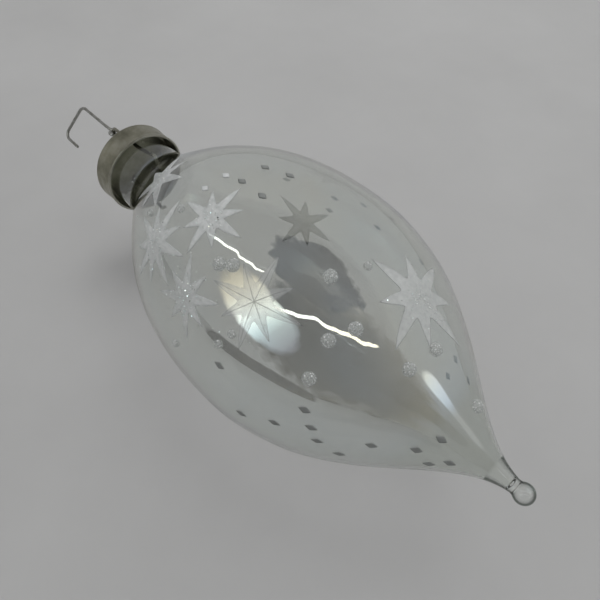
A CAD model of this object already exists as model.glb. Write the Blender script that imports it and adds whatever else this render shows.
import math

import bmesh
import bpy
from mathutils import Matrix, Vector, noise


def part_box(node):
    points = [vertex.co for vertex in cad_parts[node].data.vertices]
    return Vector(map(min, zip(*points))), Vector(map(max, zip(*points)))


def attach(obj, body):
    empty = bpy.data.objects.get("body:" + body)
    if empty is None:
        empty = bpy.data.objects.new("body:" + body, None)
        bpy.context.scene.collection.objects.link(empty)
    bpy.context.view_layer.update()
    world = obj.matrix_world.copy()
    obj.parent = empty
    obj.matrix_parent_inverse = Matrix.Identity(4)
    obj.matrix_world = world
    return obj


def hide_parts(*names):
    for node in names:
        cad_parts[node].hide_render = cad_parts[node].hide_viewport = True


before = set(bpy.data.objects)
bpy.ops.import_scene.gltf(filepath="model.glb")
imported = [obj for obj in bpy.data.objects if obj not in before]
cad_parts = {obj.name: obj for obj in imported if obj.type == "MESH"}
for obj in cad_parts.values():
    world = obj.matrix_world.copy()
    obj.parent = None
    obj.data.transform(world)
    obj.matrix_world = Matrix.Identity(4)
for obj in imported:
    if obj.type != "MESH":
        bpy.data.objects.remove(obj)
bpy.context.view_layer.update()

# ---------------------------------------------------------------- sizes
MM = 0.001
cap_low, cap_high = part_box("cap")
glass_low, glass_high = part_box("glass_body")
ball_low, ball_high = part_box("tip_ball")

CAP_X = cap_low.x / MM
AXIS_Z = (glass_low.z + glass_high.z) / 2 / MM
CAP_R = (cap_high.z - cap_low.z) / 2 / MM
CAP_H = (cap_high.x - cap_low.x) / MM
CAP_WALL = (glass_low.x - cap_low.x) / MM
CAP_EDGE_R = 0.9
BELLY_R = (glass_high.z - glass_low.z) / 2 / MM
GLASS_LEN = (glass_high.x - cap_low.x) / MM
BALL_R = (ball_high.y - ball_low.y) / 2 / MM
WALL = 0.5
NECK_R, NECK_LEN = 9.4, 11
BELLY_AT = 64.5
WAIST_R = 1.4
SHOULDER = [(NECK_LEN, NECK_R), (NECK_LEN + 12, NECK_R), (BELLY_AT - 34, BELLY_R), (BELLY_AT, BELLY_R)]
TAPER = [(BELLY_AT, BELLY_R), (BELLY_AT + 32, BELLY_R),
         (GLASS_LEN - 14.5, WAIST_R + 1.6), (GLASS_LEN, WAIST_R)]

WIRE_R, HOOK_WIRE_R = 0.45, 0.4
LOOP_H, LOOP_HALF, LOOP_CORNER_R = 8.2, 6.4, 1.2
LOOP_TURN = math.radians(6)
LEG_STRAIGHT, LEG_DEPTH = 4, 12
LEG_SPREAD = 8.05
TOE = 1.48
LEG_HOLE_R = WIRE_R + 0.25
EYE_R = WIRE_R + 0.25 + HOOK_WIRE_R
EYE_OFFSET = 4.8
SHANK_LEN, BEND_R, BRIDGE_LEN, NOSE_R, FREE_LEN = 15, 2.4, 7.2, 1.7, 4.6
BEND_TURN = math.radians(71)
HOOK_TILT = math.radians(60 - 90)

ENAMEL_T, STAR_T = 0.2, 0.12
ENAMEL_EDGE, ENAMEL_FOOT, GLUE_T = 0.02, 0.012, 0.015
GLITTER_LIFT, FLAKE_R, FLAKE_TILT, FLAKES_PER_M2 = 0.08, 0.125, 0.8, 3.2e6
CRYSTAL_D, SMALL_CRYSTAL_D = 2.6, 1.7
LOZENGE_LEN, LOZENGE_W = 2.4, 1.5
# One star is dark, one is clear glass with dark veins, and some are thinly painted.
DARK_STAR = 7
CLEAR_STAR, THIN_STARS = 5, {5: 0.92, 6: 0.55, 1: 0.35}
STAR_CORE, SHORT_PETAL, PETAL_SHARPNESS = 0.36, 0.78, 2

# Places on the glass: share of its length in percent, angle round from the top in degrees.
# A star adds its size in percent, its number of petals and its turn.
STARS = [
    (25.5, -26, 8.2, 7, 20),
    (37.3, -49, 8.7, 9, 16),
    (45, -25, 7, 8, 4),
    (49.4, -55, 7, 8, 27),
    (60.1, -38, 7.8, 8, 12),
    (74.9, 14, 9.4, 8, 22),
    (34.6, 108, 7.4, 7, 10),
]
CRYSTALS = [(65.8, -13), (72.8, -21), (71.2, -32), (72, -50), (80.7, -16), (81.1, 6), (89.3, 23),
            (51.9, -36), (53.9, -33)]
SMALL_CRYSTALS = [(59.7, -53), (58.4, -60), (49.8, -77), (67.9, 1.5), (38.3, -30), (31.1, -42)]
# The first dabs of the shoulder are white. All other dabs are silver grey.
WHITE_DABS = 2
LOZENGES = {
    "shoulder_lozenges": [(39.1, -17), (39.9, -7), (43.4, -5.5), (48.6, -6), (43.2, 7), (47.7, 10)],
    "side_lozenges": [(30.5, 79), (41.2, 81), (39.9, 92), (56, 69), (51.9, 85), (79.8, 105),
                      (80.2, 120), (84.4, 98), (48.6, 74), (64.2, 82)],
    "lower_lozenges": [(59.7, -68), (64.6, -87), (70, -81), (73.3, -65), (74.9, -74), (76.1, -83),
                       (79, -92), (82.3, -74), (87.2, -66), (88.9, -42), (89.3, -85), (91.4, -72)],
}


# ---------------------------------------------------------------- outline of the glass
def cubic_shares(t):
    """The share of each of a cubic curve's four points at t."""
    return (1 - t) ** 3, 3 * (1 - t) ** 2 * t, 3 * (1 - t) * t ** 2, t ** 3


def bezier(points, t):
    """(distance along, radius) on a cubic curve."""
    return tuple(sum(s * p[i] for s, p in zip(cubic_shares(t), points)) for i in (0, 1))


OUTER = [(CAP_WALL, NECK_R)]
OUTER += [bezier(SHOULDER, i / 72) for i in range(73)]
OUTER += [bezier(TAPER, i / 96) for i in range(1, 97)]


def glass_r(along):
    """Radius of the plain glass at a distance from the cap's top."""
    if along <= OUTER[0][0]:
        return OUTER[0][1]
    for (x0, r0), (x1, r1) in zip(OUTER, OUTER[1:]):
        if along <= x1:
            return r0 + (r1 - r0) * (along - x0) / max(x1 - x0, 1e-9)
    return OUTER[-1][1]


def glass_slope(along):
    return (glass_r(along + 1) - glass_r(along - 1)) / 2


def ripple(along, around):
    """How far the hand-blown skin lies inside the true outline, in mm."""
    fade = max(0.0, min(1.0, (along - 16) / 14, (112 - along) / 14))
    p = Vector((along * 0.055, 1.1 * math.sin(around), 1.1 * math.cos(around)))
    wave = 0.05 * (noise.noise(p) - 1) + 0.09 * (noise.noise(p * 2.2 + Vector((3, 0, 0))) - 1)
    return fade * wave


def on_skin(along, around, height=0.0):
    """The point on the glass at a distance along and an angle round from the top, in metres."""
    r = glass_r(along) + ripple(along, around) + height
    return Vector((CAP_X + along, r * math.sin(around), AXIS_Z + r * math.cos(around))) * MM


class Patch:
    """Flat coordinates (u along the glass, v round it) about a place, laid on the glass."""

    def __init__(self, along_percent, around_degrees):
        self.along = along_percent / 100 * GLASS_LEN
        self.around = math.radians(around_degrees)
        tilt = math.atan(glass_slope(self.along))
        s, c = math.sin(self.around), math.cos(self.around)
        r = glass_r(self.along)
        self.centre = Vector((self.along, r * s, r * c))
        self.u = Vector((math.cos(tilt), math.sin(tilt) * s, math.sin(tilt) * c))
        self.v = Vector((0, c, -s))
        self.out = self.u.cross(self.v)
        if self.out.dot(Vector((0, s, c))) < 0:
            self.out = -self.out

    def lay(self, u, v, height):
        p = self.centre + u * self.u + v * self.v
        return on_skin(p.x, math.atan2(p.y, p.z), height)

    def stand(self, u, v, height):
        """A point over the tangent plane, without following the glass."""
        p = self.centre + u * self.u + v * self.v + height * self.out
        drop = ripple(self.along, self.around)
        return Vector((CAP_X + p.x, p.y, AXIS_Z + p.z)) * MM + self.out * drop * MM


# ---------------------------------------------------------------- mesh helpers
def make_object(name, verts, faces, materials, smooth=True, face_materials=None):
    mesh = bpy.data.meshes.new(name)
    mesh.from_pydata([tuple(v) for v in verts], [], faces)
    for m in materials:
        mesh.materials.append(m)
    if face_materials:
        mesh.polygons.foreach_set("material_index", face_materials)
    mesh.polygons.foreach_set("use_smooth", [smooth] * len(mesh.polygons))
    mesh.update()
    obj = bpy.data.objects.new(name, mesh)
    bpy.context.scene.collection.objects.link(obj)
    return obj


def outward(obj):
    """Merges doubles and turns every face outwards."""
    bm = bmesh.new()
    bm.from_mesh(obj.data)
    bmesh.ops.remove_doubles(bm, verts=bm.verts, dist=1e-7)
    bmesh.ops.recalc_face_normals(bm, faces=bm.faces)
    bm.to_mesh(obj.data)
    bm.free()
    return obj


def set_attribute(obj, name, values):
    layer = obj.data.attributes.new(name, "FLOAT", "POINT")
    layer.data.foreach_set("value", values)


def net_faces(steps):
    """Faces of a square net, steps squares to a side, its points counted row by row."""
    row = steps + 1
    corners = [j * row + i for j in range(steps) for i in range(steps)]
    return [(a, a + 1, a + row + 1, a + row) for a in corners]


def apply_modifiers(obj):
    """Turns the evaluated object into a plain mesh."""
    dg = bpy.context.evaluated_depsgraph_get()
    mesh = bpy.data.meshes.new_from_object(obj.evaluated_get(dg), depsgraph=dg)
    obj.modifiers.clear()
    obj.data = mesh
    return obj


def lathe(profile, rings_of, around_steps):
    """Vertices and faces of a turned surface, closed on the axis at both ends.

    profile is a list of (along, radius, waves). Its first and last radius count as zero."""
    verts, faces = [], []
    first, last = profile[0], profile[-1]
    verts.append(rings_of(first[0], 0.0, 0.0, first[2]))
    for along, r, waves in profile[1:-1]:
        for k in range(around_steps):
            verts.append(rings_of(along, r, 2 * math.pi * k / around_steps, waves))
    verts.append(rings_of(last[0], 0.0, 0.0, last[2]))
    ring_count = len(profile) - 2
    for k in range(around_steps):
        n = (k + 1) % around_steps
        faces.append((0, 1 + n, 1 + k))
        for ring in range(ring_count - 1):
            a, b = 1 + ring * around_steps, 1 + (ring + 1) * around_steps
            faces.append((a + k, a + n, b + n, b + k))
        end = 1 + (ring_count - 1) * around_steps
        faces.append((end + k, end + n, len(verts) - 1))
    return verts, faces


def axis_point(along, r, around, waves):
    r = r + (ripple(along, around) if waves else 0.0)
    return Vector((CAP_X + along, r * math.sin(around), AXIS_Z + r * math.cos(around))) * MM


def arc(centre, r, start, end, steps):
    """Points of an arc as (along, radius), angles in degrees from +along towards +radius."""
    angles = [math.radians(start + (end - start) * i / steps) for i in range(steps + 1)]
    return [(centre[0] + r * math.cos(a), centre[1] + r * math.sin(a)) for a in angles]


def tube(name, path, radius, materials, around_steps=20, end_steps=5):
    """A wire with rounded ends swept along a smooth path of points in metres."""
    path = [Vector(p) for p in path]
    tangents = []
    for i in range(len(path)):
        before, after = path[max(i - 1, 0)], path[min(i + 1, len(path) - 1)]
        tangents.append((after - before).normalized())
    side = tangents[0].orthogonal().normalized()
    rings = []
    for i, (p, t) in enumerate(zip(path, tangents)):
        side = (side - t * side.dot(t)).normalized()
        rings.append((p, side.copy(), t.cross(side), t))
    stations = []
    p, a, b, t = rings[0]
    for k in range(end_steps):
        turn = math.pi / 2 * (1 - k / end_steps)
        stations.append((p - t * radius * math.sin(turn), a, b, radius * math.cos(turn)))
    stations += [(p, a, b, radius) for p, a, b, t in rings]
    p, a, b, t = rings[-1]
    for k in range(end_steps):
        turn = math.pi / 2 * (k + 1) / end_steps
        stations.append((p + t * radius * math.sin(turn), a, b, radius * math.cos(turn)))
    verts = []
    for p, a, b, r in stations:
        for k in range(around_steps):
            turn = 2 * math.pi * k / around_steps
            verts.append(p + (a * math.cos(turn) + b * math.sin(turn)) * r)
    faces = []
    for i in range(len(stations) - 1):
        for k in range(around_steps):
            n = (k + 1) % around_steps
            a, b = i * around_steps, (i + 1) * around_steps
            faces.append((a + k, a + n, b + n, b + k))
    return outward(make_object(name, verts, faces, materials))


# ---------------------------------------------------------------- material helpers
class Shader:
    """A material's node tree, with short calls for the nodes the finishes share."""

    def __init__(self, name):
        self.material = bpy.data.materials.new(name)
        self.material.use_nodes = True
        self.tree = self.material.node_tree
        self.tree.nodes.clear()
        self.output = self.node("ShaderNodeOutputMaterial")
        self.coordinates = self.node("ShaderNodeTexCoord").outputs["Object"]

    def node(self, kind, **settings):
        n = self.tree.nodes.new(kind)
        for key, value in settings.items():
            setattr(n, key, value)
        return n

    def link(self, a, b):
        self.tree.links.new(a, b)

    def principled(self, **values):
        n = self.node("ShaderNodeBsdfPrincipled")
        for key, value in values.items():
            n.inputs[key.replace("_", " ")].default_value = value
        return n

    def noise(self, scale, detail=4.0, roughness=0.55, stretch=None, distortion=0.0):
        n = self.node("ShaderNodeTexNoise")
        n.inputs["Scale"].default_value = scale
        n.inputs["Detail"].default_value = detail
        n.inputs["Roughness"].default_value = roughness
        n.inputs["Distortion"].default_value = distortion
        self.link(self.stretched(stretch), n.inputs["Vector"])
        return n.outputs["Fac"]

    def voronoi(self, scale, feature="F1", stretch=None):
        n = self.node("ShaderNodeTexVoronoi", feature=feature)
        n.inputs["Scale"].default_value = scale
        self.link(self.stretched(stretch), n.inputs["Vector"])
        return n

    def stretched(self, stretch):
        if stretch is None:
            return self.coordinates
        m = self.node("ShaderNodeMapping")
        m.inputs["Scale"].default_value = stretch
        self.link(self.coordinates, m.inputs["Vector"])
        return m.outputs["Vector"]

    def range(self, value, low, high, to_low, to_high):
        n = self.node("ShaderNodeMapRange")
        for key, v in (("From Min", low), ("From Max", high), ("To Min", to_low), ("To Max", to_high)):
            n.inputs[key].default_value = v
        self.link(value, n.inputs["Value"])
        return n.outputs["Result"]

    def ramp(self, value, stops):
        n = self.node("ShaderNodeValToRGB")
        while len(n.color_ramp.elements) < len(stops):
            n.color_ramp.elements.new(0.5)
        for element, (place, colour) in zip(n.color_ramp.elements, stops):
            element.position = place
            element.color = (*colour, 1)
        self.link(value, n.inputs["Fac"])
        return n.outputs["Color"]

    def math(self, operation, a, b=None, clamp=False):
        n = self.node("ShaderNodeMath", operation=operation, use_clamp=clamp)
        for i, v in enumerate((a, b)):
            if v is None:
                continue
            if isinstance(v, (int, float)):
                n.inputs[i].default_value = v
            else:
                self.link(v, n.inputs[i])
        return n.outputs[0]

    def bump(self, height, strength, distance, normal=None):
        n = self.node("ShaderNodeBump")
        n.inputs["Strength"].default_value = strength
        n.inputs["Distance"].default_value = distance
        self.link(height, n.inputs["Height"])
        if normal is not None:
            self.link(normal, n.inputs["Normal"])
        return n.outputs["Normal"]

    def edge_tint(self, face, edge, start, end=0.97):
        """Colour that darkens where thick glass is seen edge on."""
        weight = self.node("ShaderNodeLayerWeight")
        weight.inputs["Blend"].default_value = 0.5
        return self.ramp(weight.outputs["Facing"], [(start, face), (end, edge)])

    def attribute(self, name):
        return self.node("ShaderNodeAttribute", attribute_name=name).outputs["Fac"]

    def finish(self, shader):
        self.link(shader, self.output.inputs["Surface"])
        return self.material


def lets_lamps_through(s, glass, centre_share, edge_share):
    """Mixes in clear passage for shadow and diffuse rays, darker where the glass turns away."""
    path = s.node("ShaderNodeLightPath")
    facing = s.node("ShaderNodeLayerWeight")
    facing.inputs["Blend"].default_value = 0.35
    tone = s.range(facing.outputs["Facing"], 0.25, 1.0, centre_share, edge_share)
    clear = s.node("ShaderNodeBsdfTransparent")
    s.link(tone, clear.inputs["Color"])
    mix = s.node("ShaderNodeMixShader")
    s.link(s.math("MAXIMUM", path.outputs["Is Shadow Ray"], path.outputs["Is Diffuse Ray"]), mix.inputs[0])
    s.link(glass, mix.inputs[1])
    s.link(clear.outputs[0], mix.inputs[2])
    return mix.outputs[0]


# ---------------------------------------------------------------- finishes
def lustred_glass():
    """Outside of the blown glass: clear, with a thin lustre that colours its reflections."""
    s = Shader("lustred_glass")
    p = s.principled(Transmission_Weight=1.0, IOR=1.5, Thin_Film_IOR=2.5)
    s.link(s.edge_tint((0.775, 0.80, 0.77), (0.16, 0.19, 0.16), 0.84, 0.96), p.inputs["Base Color"])
    # The lustre thins out towards the underside, the tip and the neck.
    film = s.range(s.noise(22, 2, 0.5, (1, 1.4, 1.4), 0.6), 0.3, 0.7, 42, 76)
    height = s.node("ShaderNodeSeparateXYZ")
    s.link(s.coordinates, height.inputs[0])
    lower = s.range(height.outputs["Z"], 0.018, 0.042, 0.1, 1.0)
    tip = s.range(height.outputs["X"], 0.052, 0.064, 1.0, 0.0)
    neck = s.range(height.outputs["X"], -0.036, -0.028, 0.12, 1.0)
    s.link(s.math("MULTIPLY", s.math("MULTIPLY", film, neck), s.math("MULTIPLY", lower, tip)),
           p.inputs["Thin Film Thickness"])
    wiped = s.range(s.noise(55, 5, 0.6, (0.6, 1.5, 1.5)), 0.5, 0.85, 0.0, 0.025)
    s.link(wiped, p.inputs["Roughness"])
    return s.finish(lets_lamps_through(s, p.outputs[0], 0.97, 0.62))


def inner_glass():
    """Inside of the blown glass: plain and slightly wavy."""
    s = Shader("inner_glass")
    p = s.principled(Base_Color=(0.93, 0.945, 0.925, 1), Transmission_Weight=1.0, IOR=1.5)
    s.link(s.range(s.noise(40, 4), 0.5, 0.8, 0.0, 0.03), p.inputs["Roughness"])
    s.link(s.bump(s.noise(120, 2), 0.05, 0.0002), p.inputs["Normal"])
    return s.finish(lets_lamps_through(s, p.outputs[0], 0.98, 0.7))


def frost_enamel():
    """White frosted enamel, grainy and thin enough to see through."""
    s = Shader("frost_enamel")
    p = s.principled(Roughness=0.75, IOR=1.45, Specular_IOR_Level=0.15)
    grain = s.noise(900, 6, 0.7)
    cloud = s.noise(110, 4)
    vein = s.attribute("vein")
    white = s.ramp(grain, [(0.3, (0.84, 0.87, 0.87)), (0.7, (0.95, 0.96, 0.96))])
    tinted = s.node("ShaderNodeMix", data_type="RGBA")
    s.link(vein, tinted.inputs["Factor"])
    s.link(white, tinted.inputs["A"])
    tinted.inputs["B"].default_value = (0.09, 0.1, 0.085, 1)
    s.link(tinted.outputs["Result"], p.inputs["Base Color"])
    body = s.math("ADD", s.range(cloud, 0.3, 0.7, 0.42, 0.8), s.range(grain, 0.3, 0.7, -0.08, 0.08))
    thin = s.math("MULTIPLY", body, s.range(s.attribute("rim"), 0.0, 1.0, 1.0, 0.2))
    s.link(s.math("ADD", thin, s.math("MULTIPLY", vein, 0.4), True), p.inputs["Alpha"])
    s.link(s.bump(grain, 0.3, 0.00005), p.inputs["Normal"])
    return s.finish(p.outputs[0])


def glitter():
    """Flakes of silvered film, some bright metal and some gone white."""
    s = Shader("glitter_flakes")
    p = s.principled(Roughness=0.16, Specular_IOR_Level=1.0)
    s.link(s.range(s.noise(2900, 1), 0.46, 0.54, 0.05, 0.95), p.inputs["Metallic"])
    tint = s.ramp(s.noise(2500, 1), [(0.35, (0.88, 1.0, 0.99)), (0.65, (1.0, 1.0, 0.98))])
    s.link(tint, p.inputs["Base Color"])
    return s.finish(p.outputs[0])


def crystal_glass():
    """Cut glass over foil chips: half clear, with scattered white sparkles and a grey edge."""
    s = Shader("crystal_glass")
    chips = s.voronoi(2300)
    spark = s.range(chips.outputs["Distance"], 0.22, 0.4, 1.0, 0.0)
    chosen = s.node("ShaderNodeSeparateColor")
    s.link(chips.outputs["Color"], chosen.inputs[0])
    lit = s.math("MULTIPLY", spark, s.range(chosen.outputs[0], 0.45, 0.55, 0.0, 1.0))
    p = s.principled(IOR=1.5, Specular_IOR_Level=0.8, Roughness=0.12)
    tone = s.ramp(lit, [(0.0, (0.66, 0.69, 0.67)), (0.8, (1.0, 1.0, 1.0))])
    s.link(tone, p.inputs["Base Color"])
    s.link(s.math("MULTIPLY", lit, 0.25), p.inputs["Metallic"])
    facing = s.node("ShaderNodeLayerWeight")
    facing.inputs["Blend"].default_value = 0.4
    edge = s.range(facing.outputs["Facing"], 0.3, 0.9, 0.34, 0.7)
    cover = s.math("ADD", edge, s.math("MULTIPLY", lit, 0.7), True)
    s.link(cover, p.inputs["Alpha"])
    s.link(s.bump(chips.outputs["Distance"], 0.6, 0.0002), p.inputs["Normal"])
    return s.finish(p.outputs[0])


def cap_metal():
    """Dull nickel over brass: fine turning lines, blotched tarnish and rubbed edges."""
    s = Shader("cap_metal")
    lines = s.noise(1.0, 3, 0.6, (5200, 60, 60))
    blotch = s.noise(190, 6, 0.62)
    broad = s.noise(60, 3, 0.5)
    worn = s.attribute("edge")
    tarnish = s.math("MULTIPLY", s.range(blotch, 0.35, 0.7, 0.35, 1.0), s.range(broad, 0.3, 0.7, 0.6, 1.0))
    colour = s.ramp(tarnish, [(0.2, (0.46, 0.44, 0.37)), (0.55, (0.31, 0.30, 0.235)),
                              (0.95, (0.16, 0.155, 0.115))])
    bright = s.node("ShaderNodeMix", data_type="RGBA")
    s.link(s.math("MULTIPLY", worn, 0.55), bright.inputs["Factor"])
    s.link(colour, bright.inputs["A"])
    bright.inputs["B"].default_value = (0.52, 0.51, 0.46, 1)
    p = s.principled(Metallic=1.0)
    s.link(bright.outputs["Result"], p.inputs["Base Color"])
    rough = s.math("ADD", s.range(tarnish, 0.2, 1.0, 0.3, 0.52), s.range(lines, 0.3, 0.7, -0.05, 0.05))
    s.link(rough, p.inputs["Roughness"])
    s.link(s.bump(blotch, 0.12, 0.0001, s.bump(lines, 0.25, 0.00003)), p.inputs["Normal"])
    return s.finish(p.outputs[0])


def wire_metal(name, light, dark):
    """Drawn wire with die lines and faint stains."""
    s = Shader(name)
    stain = s.noise(420, 5, 0.6)
    drawn = s.noise(1.0, 2, 0.5, (500, 4200, 4200))
    p = s.principled(Metallic=1.0)
    s.link(s.ramp(stain, [(0.35, dark), (0.65, light)]), p.inputs["Base Color"])
    s.link(s.range(stain, 0.3, 0.7, 0.42, 0.24), p.inputs["Roughness"])
    s.link(s.bump(drawn, 0.3, 0.00002), p.inputs["Normal"])
    return s.finish(p.outputs[0])


def solid_glass():
    """Solid glass of the drawn tip and its ball: clear, bright and without lustre."""
    s = Shader("solid_glass")
    p = s.principled(Transmission_Weight=1.0, IOR=1.52)
    s.link(s.edge_tint((0.93, 0.95, 0.93), (0.04, 0.05, 0.04), 0.14, 0.46), p.inputs["Base Color"])
    s.link(s.range(s.noise(300, 3), 0.5, 0.9, 0.0, 0.02), p.inputs["Roughness"])
    s.link(s.bump(s.noise(420, 2), 0.04, 0.0001), p.inputs["Normal"])
    return s.finish(lets_lamps_through(s, p.outputs[0], 0.92, 0.4))


LUSTRE, INNER, SOLID = lustred_glass(), inner_glass(), solid_glass()
FROST, FLAKES, CRYSTAL = frost_enamel(), glitter(), crystal_glass()
CAP_METAL = cap_metal()
SPRING_WIRE = wire_metal("spring_wire", (0.34, 0.33, 0.28), (0.2, 0.19, 0.155))
HOOK_WIRE = wire_metal("hook_wire", (0.46, 0.46, 0.44), (0.27, 0.265, 0.24))


# ---------------------------------------------------------------- glass
def blown_glass():
    """Neck, body, drawn tip and end ball as one closed skin with a hollow inside."""
    rim_r = WALL / 2
    mouth = (CAP_WALL + rim_r, NECK_R - rim_r)
    outer = [p for p in OUTER if p[0] > CAP_WALL + rim_r]
    inner = []
    for (x0, r0), (x1, r1) in zip(outer, outer[1:]):
        run, rise = x1 - x0, r1 - r0
        size = math.hypot(run, rise)
        inner.append((x0 + WALL * rise / size, r0 - WALL * run / size))
    inner = [p for p in inner if p[1] > 1.2]
    end_x, end_r = inner[-1]
    cavity_tip = arc((end_x, 0), end_r, 90, 0, 10)[1:]
    cavity = inner + cavity_tip
    junction = math.degrees(math.acos(-math.sqrt(1 - (WAIST_R / BALL_R) ** 2)))
    ball_x = (ball_high.x / MM - CAP_X) - BALL_R
    ball = arc((ball_x, 0), BALL_R, junction - 6, 0, 24)
    rim = arc(mouth, rim_r, -90, -270, 10)
    profile = [(x, r, True) for x, r in reversed(cavity)]
    inner_rings = len(profile)
    profile += [(x, r, False) for x, r in rim]
    profile += [(x, r, True) for x, r in outer[:-1]] + [(x, r, False) for x, r in ball]
    profile[0] = (profile[0][0], 0.0, False)
    profile[-1] = (profile[-1][0], 0.0, False)
    steps = 240
    verts, faces = lathe(profile, axis_point, steps)
    tip_start = (CAP_X + GLASS_LEN - 5) * MM
    marks = []
    for f in faces:
        inside = min(f) < 1 + (inner_rings - 1) * steps
        marks.append(1 if inside else 2 if min(verts[i].x for i in f) > tip_start else 0)
    piece = make_object("blown_glass", verts, faces, [LUSTRE, INNER, SOLID], True, marks)
    piece = outward(piece)
    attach(piece, "glass")
    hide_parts("glass_body", "tip_ball")


# ---------------------------------------------------------------- enamel
def petal_edge(turn, size, petals):
    """(distance from the centre to a star's edge, turn away from the nearest petal's middle)."""
    step = 2 * math.pi / petals
    nearest = round(turn / step)
    off = abs(turn - nearest * step) / (step / 2)
    tip = size if nearest % petals % 2 == 0 else SHORT_PETAL * size
    core = STAR_CORE * size
    return core + (tip - core) * (1 - off) ** PETAL_SHARPNESS, turn - nearest * step


def frost_star(number, place):
    percent, around, size_percent, petals, spin = place
    patch = Patch(percent, around)
    size = size_percent / 100 * GLASS_LEN
    spin = math.radians(spin)
    turns, rings = petals * 24, 12
    dark = 1.0 if number == CLEAR_STAR else 0.1
    thinned = THIN_STARS.get(number, 0.0)
    verts, veins, rims, sparkle = [patch.lay(0, 0, STAR_T)], [dark], [thinned], [1.0]
    for ring in range(1, rings + 1):
        share = (ring / rings) ** 0.9
        for k in range(turns):
            turn = 2 * math.pi * k / turns
            reach, off = petal_edge(turn, size, petals)
            d = share * reach
            rib = math.exp(-((d * math.sin(off)) / 0.09) ** 2) * (1 - 0.6 * share)
            pillow = (1 - share ** 7) ** 0.5 if ring < rings else 0.0
            height = ENAMEL_EDGE + (STAR_T - ENAMEL_EDGE) * pillow * (1 - 0.3 * rib)
            verts.append(patch.lay(d * math.cos(turn + spin), d * math.sin(turn + spin), height))
            veins.append(0.55 if number == DARK_STAR else rib * dark)
            rims.append(max(thinned, 0.5 * share ** 6))
            sparkle.append(max(0.0, 1 - d / (0.75 * size)) ** 1.2 * (1 - thinned))
    faces = [(0, 1 + k, 1 + (k + 1) % turns) for k in range(turns)]
    for ring in range(rings - 1):
        a, b = 1 + ring * turns, 1 + (ring + 1) * turns
        faces += [(a + k, b + k, b + (k + 1) % turns, a + (k + 1) % turns) for k in range(turns)]
    edge, under = 1 + (rings - 1) * turns, len(verts)
    for share in (0.66, 0.33):
        for k in range(turns):
            reach, _ = petal_edge(2 * math.pi * k / turns, size, petals)
            turn = 2 * math.pi * k / turns + spin
            d = share * reach
            verts.append(patch.lay(d * math.cos(turn), d * math.sin(turn), ENAMEL_FOOT))
            veins.append(0.0)
            rims.append(1.0)
            sparkle.append(0.0)
    verts.append(patch.lay(0, 0, ENAMEL_FOOT))
    veins.append(0.0)
    rims.append(1.0)
    sparkle.append(0.0)
    for k in range(turns):
        n = (k + 1) % turns
        faces.append((edge + k, under + k, under + n, edge + n))
        faces.append((under + k, under + turns + k, under + turns + n, under + n))
        faces.append((under + turns + k, len(verts) - 1, under + turns + n))
    piece = make_object(f"frosted_star_{number}", verts, faces, [FROST])
    set_attribute(piece, "vein", veins)
    set_attribute(piece, "rim", rims)
    set_attribute(piece, "sparkle", sparkle)
    piece = outward(piece)
    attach(piece, "glass")
    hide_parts(f"frost_star_{number}")
    return piece


def lozenge_group(name, places):
    """Small four-sided dabs of enamel, each a low pillow with softened corners."""
    verts, faces, greys = [], [], []
    steps, rings = 32, 5
    for number, (percent, around) in enumerate(places):
        patch = Patch(percent, around)
        base = len(verts)
        verts.append(patch.lay(0, 0, ENAMEL_T))
        for ring in range(1, rings + 1):
            share = ring / rings
            for k in range(steps):
                turn = 2 * math.pi * k / steps
                c, s = math.cos(turn), math.sin(turn)
                reach = (abs(2 * c / LOZENGE_LEN) ** 1.15 + abs(2 * s / LOZENGE_W) ** 1.15) ** (-1 / 1.15)
                height = ENAMEL_EDGE + (ENAMEL_T - ENAMEL_EDGE) * (1 - share ** 5)
                verts.append(patch.lay(share * reach * c, share * reach * s, height))
        verts.append(patch.lay(0, 0, ENAMEL_FOOT))
        for k in range(steps):
            n = (k + 1) % steps
            faces.append((base, base + 1 + k, base + 1 + n))
            for ring in range(rings - 1):
                a, b = base + 1 + ring * steps, base + 1 + (ring + 1) * steps
                faces.append((a + k, b + k, b + n, a + n))
            edge = base + 1 + (rings - 1) * steps
            faces.append((edge + k, len(verts) - 1, edge + n))
        grey = 0.0 if name == "shoulder_lozenges" and number < WHITE_DABS else 0.7
        greys += [grey] * (len(verts) - base)
    piece = make_object(name.replace("lozenges", "dabs"), verts, faces, [FROST])
    set_attribute(piece, "vein", greys)
    set_attribute(piece, "rim", [0.0] * len(verts))
    piece = outward(piece)
    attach(piece, "glass")
    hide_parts(name)


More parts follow.
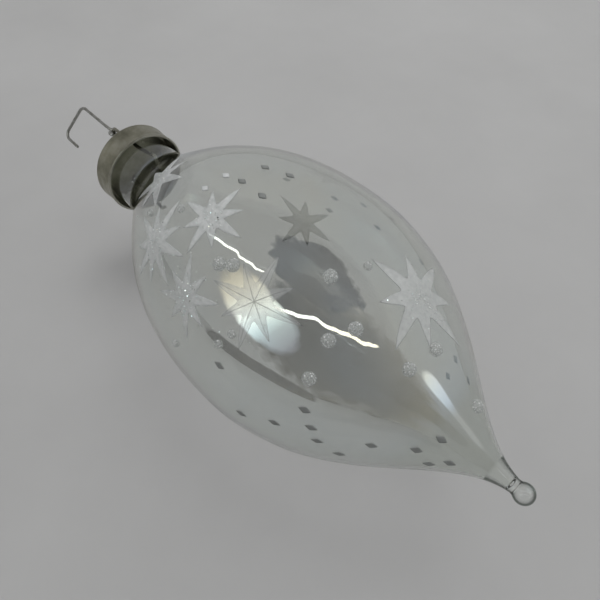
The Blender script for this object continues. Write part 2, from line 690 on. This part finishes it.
# ---------------------------------------------------------------- crystals
def add_crystal(verts, faces, place, diameter, seed):
    """A cut dome: rows of flat facets over a girdle, on a bead of glue that meets the glass."""
    patch = Patch(*place)
    r = diameter / 2
    rows = [(1.0, 0.10), (0.97, 0.34), (0.80, 0.58), (0.52, 0.76), (0.22, 0.84)]
    sides = 9
    base = len(verts)
    for row, (share, height) in enumerate(rows):
        for k in range(sides):
            jitter = noise.noise(Vector((seed * 3.7, row * 2.3, k * 1.9)))
            turn = 2 * math.pi * (k + 0.5 * (row % 2) + 0.22 * jitter) / sides
            d = r * share * (1 + 0.06 * jitter)
            up = r * height * (1 + 0.08 * jitter)
            verts.append(patch.stand(d * math.cos(turn), d * math.sin(turn), up))
    top = len(verts)
    verts.append(patch.stand(0.04 * r, 0, r * 0.87))
    glue = len(verts)
    for k in range(sides):
        turn = 2 * math.pi * k / sides
        verts.append(patch.lay(1.03 * r * math.cos(turn), 1.03 * r * math.sin(turn), GLUE_T))
    foot = len(verts)
    verts.append(patch.lay(0, 0, GLUE_T))
    for row in range(len(rows) - 1):
        a, b = base + row * sides, base + (row + 1) * sides
        for k in range(sides):
            n = (k + 1) % sides
            if row % 2 == 0:
                faces.extend([(a + k, a + n, b + k), (a + n, b + n, b + k)])
            else:
                faces.extend([(a + k, a + n, b + n), (a + k, b + n, b + k)])
    last = base + (len(rows) - 1) * sides
    for k in range(sides):
        n = (k + 1) % sides
        faces.append((last + k, last + n, top))
        faces.append((glue + k, glue + n, base + n, base + k))
        faces.append((foot, glue + n, glue + k))


def crystal_piece(name, places, diameter, seed, replaced):
    verts, faces = [], []
    for i, place in enumerate(places):
        add_crystal(verts, faces, place, diameter, seed + i)
    piece = outward(make_object(name, verts, faces, [CRYSTAL], smooth=False))
    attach(piece, "glass")
    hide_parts(replaced)


# ---------------------------------------------------------------- glitter
def glitter_tree():
    """Scatters tilted six-sided flakes over a surface, thickest where 'sparkle' is high."""
    tree = bpy.data.node_groups.new("scatter_glitter", "GeometryNodeTree")
    tree.interface.new_socket("Geometry", in_out="INPUT", socket_type="NodeSocketGeometry")
    for name, kind in (("Flake Radius", "Float"), ("Flakes per Square Metre", "Float"),
                       ("Seed", "Int"), ("Finish", "Material")):
        tree.interface.new_socket(name, in_out="INPUT", socket_type=f"NodeSocket{kind}")
    tree.interface.new_socket("Geometry", in_out="OUTPUT", socket_type="NodeSocketGeometry")

    def node(kind, **settings):
        n = tree.nodes.new(kind)
        for key, value in settings.items():
            setattr(n, key, value)
        return n

    link = tree.links.new
    given, out = node("NodeGroupInput"), node("NodeGroupOutput")
    weight = node("GeometryNodeInputNamedAttribute", data_type="FLOAT")
    weight.inputs["Name"].default_value = "sparkle"
    density = node("ShaderNodeMath", operation="MULTIPLY")
    link(weight.outputs["Attribute"], density.inputs[0])
    link(given.outputs["Flakes per Square Metre"], density.inputs[1])
    points = node("GeometryNodeDistributePointsOnFaces")
    link(given.outputs["Geometry"], points.inputs["Mesh"])
    link(density.outputs[0], points.inputs["Density"])
    link(given.outputs["Seed"], points.inputs["Seed"])
    flake = node("GeometryNodeMeshCircle", fill_type="NGON")
    flake.inputs["Vertices"].default_value = 6
    link(given.outputs["Flake Radius"], flake.inputs["Radius"])
    tilt = node("FunctionNodeRandomValue", data_type="FLOAT_VECTOR")
    tilt.inputs["Min"].default_value = (-FLAKE_TILT, -FLAKE_TILT, -3.1)
    tilt.inputs["Max"].default_value = (FLAKE_TILT, FLAKE_TILT, 3.1)
    link(given.outputs["Seed"], tilt.inputs["Seed"])
    tilt_turn = node("FunctionNodeEulerToRotation")
    link(tilt.outputs["Value"], tilt_turn.inputs[0])
    turn = node("FunctionNodeRotateRotation", rotation_space="LOCAL")
    link(points.outputs["Rotation"], turn.inputs["Rotation"])
    link(tilt_turn.outputs[0], turn.inputs["Rotate By"])
    size = node("FunctionNodeRandomValue", data_type="FLOAT")
    size.inputs[2].default_value = 0.6
    size.inputs[3].default_value = 1.35
    link(given.outputs["Seed"], size.inputs["Seed"])
    lift = node("GeometryNodeSetPosition")
    normal = node("ShaderNodeVectorMath", operation="SCALE")
    link(points.outputs["Normal"], normal.inputs[0])
    normal.inputs["Scale"].default_value = GLITTER_LIFT * MM
    link(points.outputs["Points"], lift.inputs["Geometry"])
    link(normal.outputs[0], lift.inputs["Offset"])
    place = node("GeometryNodeInstanceOnPoints")
    link(lift.outputs["Geometry"], place.inputs["Points"])
    link(flake.outputs["Mesh"], place.inputs["Instance"])
    link(turn.outputs["Rotation"], place.inputs["Rotation"])
    link(size.outputs[1], place.inputs["Scale"])
    real = node("GeometryNodeRealizeInstances")
    finish = node("GeometryNodeSetMaterial")
    link(place.outputs["Instances"], real.inputs["Geometry"])
    link(real.outputs["Geometry"], finish.inputs["Geometry"])
    link(given.outputs["Finish"], finish.inputs["Material"])
    link(finish.outputs["Geometry"], out.inputs["Geometry"])
    return tree


def set_input(modifier, name, value):
    for item in modifier.node_group.interface.items_tree:
        if item.item_type == "SOCKET" and item.in_out == "INPUT" and item.name == name:
            modifier[item.identifier] = value


def dusted_skin():
    """A stretch of the glass's skin between the stars, lightly dusted."""
    steps = 30
    verts, sparkle = [], []
    for j in range(steps + 1):
        for i in range(steps + 1):
            u, v = 2 * i / steps - 1, 2 * j / steps - 1
            verts.append(on_skin(52 + 26 * u, math.radians(-50 + 26 * v), 0.0))
            sparkle.append(0.05 * max(0.0, 1 - math.hypot(u, v)))
    skin = make_object("dusted_skin", verts, net_faces(steps), [FLAKES])
    set_attribute(skin, "sparkle", sparkle)
    return skin


def star_glitter(stars):
    """Glitter on the middles of the stars and, thinly, on the glass between them."""
    bm = bmesh.new()
    skin = dusted_skin()
    for source in [*stars, skin]:
        bm.from_mesh(source.data)
    mesh = bpy.data.meshes.new("star_glitter")
    bm.to_mesh(mesh)
    bm.free()
    bpy.data.objects.remove(skin)
    piece = bpy.data.objects.new("star_glitter", mesh)
    bpy.context.scene.collection.objects.link(piece)
    modifier = piece.modifiers.new("scatter", "NODES")
    modifier.node_group = glitter_tree()
    set_input(modifier, "Flake Radius", FLAKE_R * MM)
    set_input(modifier, "Flakes per Square Metre", FLAKES_PER_M2)
    set_input(modifier, "Seed", 7)
    set_input(modifier, "Finish", FLAKES)
    piece = apply_modifiers(piece)
    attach(piece, "glass")


# ---------------------------------------------------------------- cap
def ornament_cap():
    """Drawn metal cup: rounded corner, straight skirt, beaded lip and two holes for the hanger."""
    t = CAP_WALL
    corner = (CAP_EDGE_R, CAP_R - CAP_EDGE_R)
    bead_r = 0.32
    skirt_r = CAP_R - 0.12
    outside = [(0, 0.001)] + [(0, r) for r in (2, 4, 6, 7.5, 9)] + arc(corner, CAP_EDGE_R, 180, 90, 12)
    outside += [(1.6, skirt_r), (3.2, skirt_r), (4.8, skirt_r), (5.4, skirt_r)]
    lip = arc((CAP_H - bead_r, CAP_R - bead_r), bead_r, 130, -60, 12)
    inside = [(CAP_H - 1.0, CAP_R - t), (3.5, CAP_R - t), (1.8, CAP_R - t)]
    inside += arc(corner, CAP_EDGE_R - t, 90, 180, 6) + [(t, r) for r in (9, 7.5, 6, 4, 2)] + [(t, 0.001)]
    profile = [(x, r, False) for x, r in outside + lip + inside]

    def dented(along, r, around, waves):
        wobble = 0.05 * noise.noise(Vector((along * 0.3, 1.6 * math.sin(around), 1.6 * math.cos(around))))
        r = r + min(0.0, wobble - 0.02) if r > CAP_R - 1.2 else r
        return Vector((CAP_X + along, r * math.sin(around), AXIS_Z + r * math.cos(around))) * MM

    verts, faces = lathe(profile, dented, 192)
    piece = outward(make_object("ornament_cap", verts, faces, [CAP_METAL]))
    cutters = []
    for side in (-1, 1):
        y = side * LOOP_HALF * math.sin(LOOP_TURN)
        z = AXIS_Z + side * LOOP_HALF * math.cos(LOOP_TURN)
        start = Vector((CAP_X - 1, y, z)) * MM
        cutter = tube("hole", [start, start + Vector((2.5 * MM, 0, 0))], LEG_HOLE_R * MM, [CAP_METAL], 40)
        cutters.append(cutter)
        cut = piece.modifiers.new("hole", "BOOLEAN")
        cut.operation, cut.solver, cut.object = "DIFFERENCE", "EXACT", cutter
    piece = apply_modifiers(piece)
    for cutter in cutters:
        bpy.data.objects.remove(cutter)
    edges = []
    for v in piece.data.vertices:
        along = v.co.x / MM - CAP_X
        r = math.hypot(v.co.y, v.co.z - AXIS_Z * MM) / MM
        on_lip = max(0.0, 1 - abs(along - CAP_H) / 0.35)
        on_corner = max(0.0, 1 - math.hypot(along - 0.26, r - CAP_R + 0.26) / 0.5)
        edges.append(max(on_lip, on_corner))
    set_attribute(piece, "edge", edges)
    piece.data.polygons.foreach_set("use_smooth", [True] * len(piece.data.polygons))
    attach(piece, "cap")
    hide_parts("cap")


# ---------------------------------------------------------------- wires
LOOP_FRAME = Matrix.Translation(Vector((CAP_X, 0, AXIS_Z)) * MM) @ Matrix.Rotation(-LOOP_TURN, 4, "X")


def placed(frame_matrix, points):
    return [frame_matrix @ (Vector(p) * MM) for p in points]


def straight(a, b, step=0.4):
    count = max(1, int((Vector(b) - Vector(a)).length / step))
    return [Vector(a).lerp(Vector(b), i / count) for i in range(count + 1)]


def smooth_path(points, passes=2):
    """Rounds a path's corners a little, keeping its ends."""
    for _ in range(passes):
        inner = [(a + 2 * b + c) / 4 for a, b, c in zip(points, points[1:], points[2:])]
        points = [points[0], *inner, points[-1]]
    return points


def without_doubles(points):
    kept = [Vector(points[0])]
    for p in points[1:]:
        if (Vector(p) - kept[-1]).length > 0.02:
            kept.append(Vector(p))
    return kept


def spring_hanger():
    """The loop above the cap and the two legs that spring against the inside of the neck."""
    half = LOOP_HALF - LOOP_CORNER_R
    corner = [(LOOP_CORNER_R - LOOP_H - LOOP_CORNER_R * math.sin(a), half + LOOP_CORNER_R * math.cos(a))
              for a in [math.pi / 2 * (1 - i / 8) for i in range(9)]]
    knee, ankle = (LEG_STRAIGHT, LOOP_HALF), (LEG_DEPTH, LEG_SPREAD)
    toe = (LEG_DEPTH + TOE, LEG_SPREAD - TOE)
    side = straight((-LOOP_H, 0, 0), (-LOOP_H, 0, half))
    side += [Vector((x, 0, z)) for x, z in corner]
    for a, b in ((corner[-1], knee), (knee, ankle), (ankle, toe)):
        side += straight((a[0], 0, a[1]), (b[0], 0, b[1]))
    side = without_doubles(side)
    other = [Vector((p.x, p.y, -p.z)) for p in reversed(side)]
    path = smooth_path(without_doubles(other + side))
    piece = tube("spring_hanger", placed(LOOP_FRAME, path), WIRE_R * MM, [SPRING_WIRE])
    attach(piece, "hanger")
    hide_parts("hanger")


def wire_hook():
    """Hook with a wound eye, a long shank, a square shoulder and a turned-back end."""
    eye_frame = LOOP_FRAME @ Matrix.Translation(Vector((-LOOP_H, 0, EYE_OFFSET)) * MM)
    hook_frame = eye_frame @ Matrix.Rotation(HOOK_TILT, 4, "X")
    ring = [(EYE_R * math.cos(a), EYE_R * math.sin(a), 0)
            for a in [math.radians(-163 + 288 * i / 40) for i in range(41)]]
    leave, way = Vector(ring[-1]), (Vector(ring[-1]) - Vector(ring[-2])).normalized()
    join = Vector((-EYE_R - 2.2, 0, 0))
    lead = [leave, leave + way * 0.9, join + Vector((1.1, 0, 0)), join]
    blend = [sum((s * p for s, p in zip(cubic_shares(i / 12), lead)), Vector()) for i in range(1, 13)]
    path = placed(eye_frame, ring + blend)
    nose_turn = math.pi - BEND_TURN
    flat = straight((join.x, 0, 0), (-SHANK_LEN, 0, 0))
    flat += [(-SHANK_LEN - BEND_R * math.sin(a), 0, -BEND_R * (1 - math.cos(a)))
             for a in [BEND_TURN * i / 10 for i in range(1, 11)]]
    start = Vector(flat[-1])
    way = Vector((-math.cos(BEND_TURN), 0, -math.sin(BEND_TURN)))
    end = start + way * BRIDGE_LEN
    flat += straight(start, end)[1:]
    centre = end + Vector((math.sin(BEND_TURN), 0, -math.cos(BEND_TURN))) * NOSE_R
    for i in range(1, 13):
        a = BEND_TURN + nose_turn * i / 12
        flat.append(centre + Vector((-math.sin(a), 0, math.cos(a))) * NOSE_R)
    flat += straight(flat[-1], Vector(flat[-1]) + Vector((FREE_LEN, 0, 0)))[1:]
    path += placed(hook_frame, [tuple(p) for p in flat])[1:]
    piece = tube("wire_hook", path, HOOK_WIRE_R * MM, [HOOK_WIRE])
    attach(piece, "hook")
    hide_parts("hook")


# ---------------------------------------------------------------- table, light and camera
def table_top():
    s = Shader("table_top")
    p = s.principled(Roughness=0.55, IOR=1.45)
    tone = s.ramp(s.noise(14, 6, 0.6), [(0.3, (0.525, 0.523, 0.519)), (0.7, (0.575, 0.573, 0.569))])
    s.link(tone, p.inputs["Base Color"])
    s.link(s.bump(s.noise(260, 4), 0.06, 0.0004), p.inputs["Normal"])
    size = 3.0
    corners = [(-size, -size, 0), (size, -size, 0), (size, size, 0), (-size, size, 0)]
    floor = make_object("table_top", corners, [(0, 1, 2, 3)], [s.finish(p.outputs[0])], smooth=False)


def card(name, towards, along, width, height, material, distance=0.6):
    """A card bent about the ornament's belly, its width lying along a direction.

    Width and height are angles in degrees."""
    middle = Vector((CAP_X + BELLY_AT, 0, AXIS_Z)) * MM
    out = Vector(towards).normalized()
    side = Vector(along)
    side = (side - out * side.dot(out)).normalized()
    turn = Matrix((side, out.cross(side), out)).transposed()
    steps = 32
    verts, places = [], []
    for j in range(steps + 1):
        for i in range(steps + 1):
            u, v = 2 * i / steps - 1, 2 * j / steps - 1
            a, b = math.radians(u * width / 2), math.radians(v * height / 2)
            way = Vector((math.sin(a) * math.cos(b), math.sin(b), math.cos(a) * math.cos(b)))
            verts.append(middle + turn @ way * distance)
            places += [u, v, 0]
    obj = make_object(name, verts, net_faces(steps), [material], smooth=False)
    obj.data.attributes.new("place", "FLOAT_VECTOR", "POINT").data.foreach_set("vector", places)
    obj.visible_camera = False
    obj.visible_diffuse = False
    obj.visible_shadow = False


def card_glow(name, colours, strengths, softness=0.3, roundness=2.0, wobble=0.0, sway=0.0, band=1.0):
    """A card's light: colours and strengths run across it, and it fades out near its edge.

    band is the share of its height that is lit, and sway bends that band up and down."""
    s = Shader(name)
    place = s.node("ShaderNodeAttribute", attribute_name="place").outputs["Vector"]
    split = s.node("ShaderNodeSeparateXYZ")
    s.link(place, split.inputs[0])
    across = s.range(split.outputs["X"], -1, 1, 0, 1)
    light = s.node("ShaderNodeEmission")
    s.link(s.ramp(across, colours), light.inputs["Color"])
    s.link(s.math("MULTIPLY", s.ramp(across, [(at, (v / 10,) * 3) for at, v in strengths]), 10.0),
           light.inputs["Strength"])
    bends = s.node("ShaderNodeTexNoise", noise_dimensions="1D")
    bends.inputs["Scale"].default_value, bends.inputs["Detail"].default_value = 2.2, 1.5
    s.link(split.outputs["X"], bends.inputs["W"])
    up = s.math("ADD", split.outputs["Y"], s.range(bends.outputs["Fac"], 0.2, 0.8, -sway, sway))
    up = s.math("DIVIDE", up, band)
    far = s.math("ADD", *[s.math("POWER", s.math("ABSOLUTE", v), roundness)
                          for v in (split.outputs["X"], up)])
    far = s.math("ADD", far, s.range(s.noise(9, 2), 0.3, 0.7, -wobble, wobble))
    clear = s.node("ShaderNodeBsdfTransparent")
    mix = s.node("ShaderNodeMixShader")
    s.link(s.range(far, 1 - softness, 1, 0, 1), mix.inputs[0])
    s.link(light.outputs[0], mix.inputs[1])
    s.link(clear.outputs[0], mix.inputs[2])
    return s.finish(mix.outputs[0])


def studio():
    world = bpy.data.worlds.new("studio")
    bpy.context.scene.world = world
    world.use_nodes = True
    world.node_tree.nodes["Background"].inputs["Color"].default_value = (0.99, 0.995, 1.0, 1)
    world.node_tree.nodes["Background"].inputs["Strength"].default_value = 0.35
    olive = [(0.0, (0.5, 0.48, 0.36)), (1.0, (0.52, 0.47, 0.34))]
    dark = card_glow("dark_room", olive, [(0.0, 0.05), (0.5, 0.14), (1.0, 0.4)], 0.35, 2.0, 0.2)
    person = card_glow("leaning_person", olive, [(0.0, 0.03), (1.0, 0.04)], 0.2, 2.0, 0.25)
    card("dark_room", (0.52, -0.6, 0.62), (0.75, 0.6, 0), 96, 84, dark, 0.9)
    card("leaning_person", (0.02, -0.03, 1.0), (0.9, 0.3, 0), 54, 44, person, 0.7)
    card("low_shade", (0.05, -0.99, -0.05), (1, 0, 0), 62, 17, person, 0.35)
    window = card_glow("window_glow",
                       [(0.0, (0.97, 0.88, 0.68)), (0.25, (0.99, 0.95, 0.82)), (0.45, (0.95, 1.0, 0.97)),
                        (0.65, (0.78, 0.95, 1.0)), (1.0, (0.75, 0.78, 0.95))],
                       [(0.0, 0.55), (0.3, 1.45), (0.5, 2.7), (0.72, 0.95), (1.0, 0.35)], 0.5, 3.0, 0.2)
    card("window", (-0.14, -0.79, 0.58), (0.95, -0.1, -0.25), 54, 34, window)
    wall = card_glow("pale_wall", [(0.0, (1, 1, 1)), (1.0, (0.97, 1.0, 1.0))],
                     [(0.0, 0.42), (1.0, 0.42)], 0.5, 4.0)
    card("pale_wall", (0.0, 0.85, 0.5), (1, 0, 0), 170, 70, wall, 1.2)
    strip = card_glow("strip_glow", [(0.0, (0.95, 1.0, 0.99)), (1.0, (0.93, 0.97, 1.0))],
                      [(0.0, 3.0), (1.0, 3.0)], 0.25, 4.0, 0.0, 0.42, 0.24)
    for number, (a, b) in enumerate((((-0.72, -0.38, 0.58), (-0.29, -0.45, 0.85)),
                                     ((-0.07, -0.68, 0.73), (0.71, -0.08, 0.70)))):
        a, b = Vector(a).normalized(), Vector(b).normalized()
        card(f"strip_{number + 1}", a + b, b - a, math.degrees(a.angle(b)), (7, 11)[number], strip, 0.5)
    pale = card_glow("pale_blob", [(0.0, (1, 1, 1)), (1.0, (0.95, 1.0, 1.0))], [(0.0, 1.3), (1.0, 1.3)], 0.5)
    card("pale_blob", (0.87, 0.24, 0.43), (0, -0.87, 0.49), 15, 11, pale)
    soft = bpy.data.lights.new("soft_box", "AREA")
    soft.shape, soft.size, soft.size_y, soft.energy = "RECTANGLE", 0.55, 0.55, 2.9
    lamp = bpy.data.objects.new("soft_box", soft)
    lamp.location = (-0.12, 0.34, 0.8)
    lamp.rotation_euler = (Vector((0, 0, 0)) - lamp.location).to_track_quat("-Z", "Y").to_euler()
    lamp.visible_glossy = False
    lamp.visible_transmission = False
    bpy.context.scene.collection.objects.link(lamp)


def camera():
    """Looks down on the belly from beside the drawn tip."""
    data = bpy.data.cameras.new("camera")
    data.sensor_width, data.lens = 36, 35.04
    data.clip_start = 0.005
    aim = Vector((CAP_X + 65.3, 0.7, AXIS_Z)) * MM
    turn, up = math.radians(47.18), math.radians(51.5)
    back = Vector((math.sin(turn) * math.cos(up), -math.cos(turn) * math.cos(up), math.sin(up)))
    obj = bpy.data.objects.new("camera", data)
    obj.location = aim + back * 127.6 * MM
    obj.rotation_euler = (-back).to_track_quat("-Z", "Y").to_euler()
    bpy.context.scene.collection.objects.link(obj)
    bpy.context.scene.camera = obj


# ---------------------------------------------------------------- the ornament
camera()
table_top()
studio()
bpy.context.scene.view_settings.view_transform = "Standard"

blown_glass()
stars = [frost_star(i + 1, place) for i, place in enumerate(STARS)]
for name, places in LOZENGES.items():
    lozenge_group(name, places)
for i, place in enumerate(CRYSTALS):
    crystal_piece(f"cut_crystal_{i + 1}", [place], CRYSTAL_D, i, f"crystal_{i + 1}")
crystal_piece("small_cut_crystals", SMALL_CRYSTALS, SMALL_CRYSTAL_D, 40, "small_crystals")
star_glitter(stars)
ornament_cap()
spring_hanger()
wire_hook()
